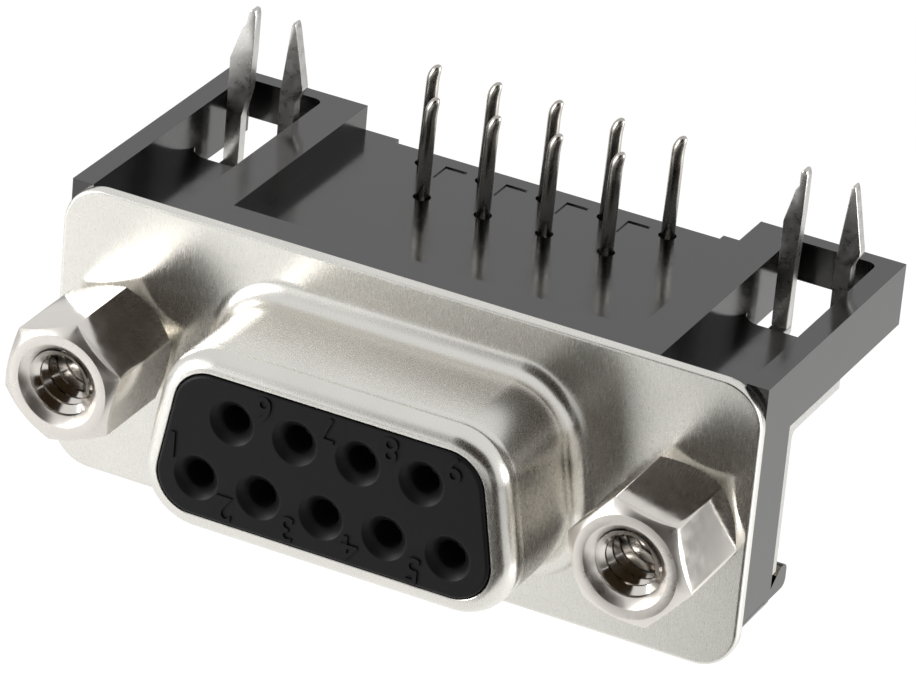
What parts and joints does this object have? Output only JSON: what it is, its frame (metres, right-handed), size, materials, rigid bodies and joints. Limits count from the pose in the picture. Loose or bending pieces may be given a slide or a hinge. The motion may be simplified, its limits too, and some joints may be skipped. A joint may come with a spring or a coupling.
{
  "type": "d-sub connector",
  "caption": "Right-angle board connector: sockets in a D-shaped steel skirt, with hexagonal jackscrews, forked board locks and straight solder tails.",
  "frame": {"origin": "on the board face, in the middle of the board footprint: halfway between the two rows of tails, on the line that joins the middles of the two board locks", "axes": "+X along the flange, towards the end with contact 5; +Y away from the mating side; +Z out of the board face, the way the solder tails point"},
  "size_m": [0.0308, 0.0197, 0.0167],
  "materials": {
    "shell": "tin-plated sheet steel with fine vertical brushing",
    "insulator": "black glass-filled moulding, satin",
    "bracket": "black glass-filled moulding, glossy",
    "contact": "tin-plated wire",
    "jackscrew": "bright nickel plate",
    "clinch_nut": "plain brass",
    "board_lock": "tin-plated sheet"
  },
  "bodies": {
    "root": {"front_shell": "shell", "front_insulator": "insulator", "rear_insulator": "insulator", "bracket": "bracket", "contact_1": "contact", "contact_2": "contact", "contact_3": "contact", "contact_4": "contact", "contact_5": "contact", "contact_6": "contact", "contact_7": "contact", "contact_8": "contact", "contact_9": "contact", "jackscrew_left": "jackscrew", "jackscrew_right": "jackscrew", "clinch_nut_left": "clinch_nut", "clinch_nut_right": "clinch_nut", "board_lock_left": "board_lock", "board_lock_right": "board_lock"}
  },
  "joints": []
}
